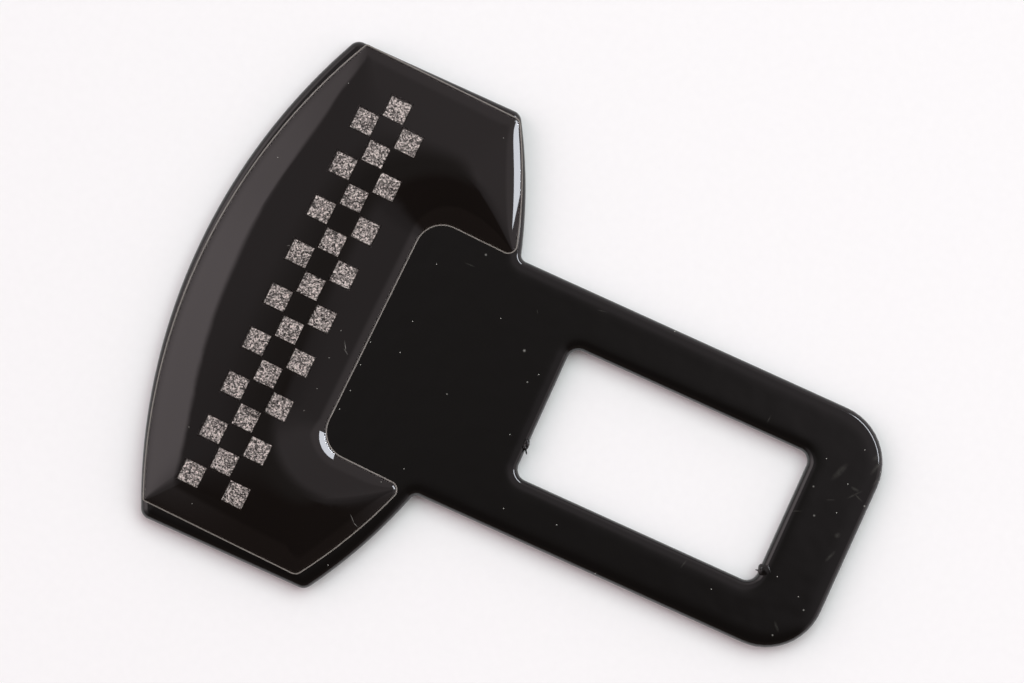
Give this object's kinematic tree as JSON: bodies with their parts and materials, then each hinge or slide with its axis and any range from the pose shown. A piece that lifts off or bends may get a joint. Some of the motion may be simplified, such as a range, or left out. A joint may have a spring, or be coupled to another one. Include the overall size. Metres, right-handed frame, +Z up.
{
  "type": "seat belt buckle plug",
  "caption": "Flat coated steel plug for a car seat belt buckle: a hammer-shaped head with a domed badge, and a straight tongue with a rectangular latch window.",
  "frame": {"origin": "on the underside, in the middle of the plate's length and width", "axes": "+X along the tongue to its tip, +Y across the plate, +Z up through the badge"},
  "size_m": [0.0684, 0.0498, 0.0037],
  "materials": {
    "steel": "rolled and stamped, sealed inside the coat",
    "coating": "thick glossy black coat with rounded edges, fine dust and light scratches",
    "adhesive": "thin clear adhesive",
    "silver_film": "metallised film with fine glitter",
    "black_ink": "smooth black overprint",
    "clear_resin": "clear glossy resin"
  },
  "bodies": {
    "root": {"tongue_plate": "steel", "black_coating": "coating", "badge_adhesive": "adhesive", "badge_film": "silver_film", "badge_ink": "black_ink", "badge_dome": "clear_resin"}
  },
  "joints": []
}
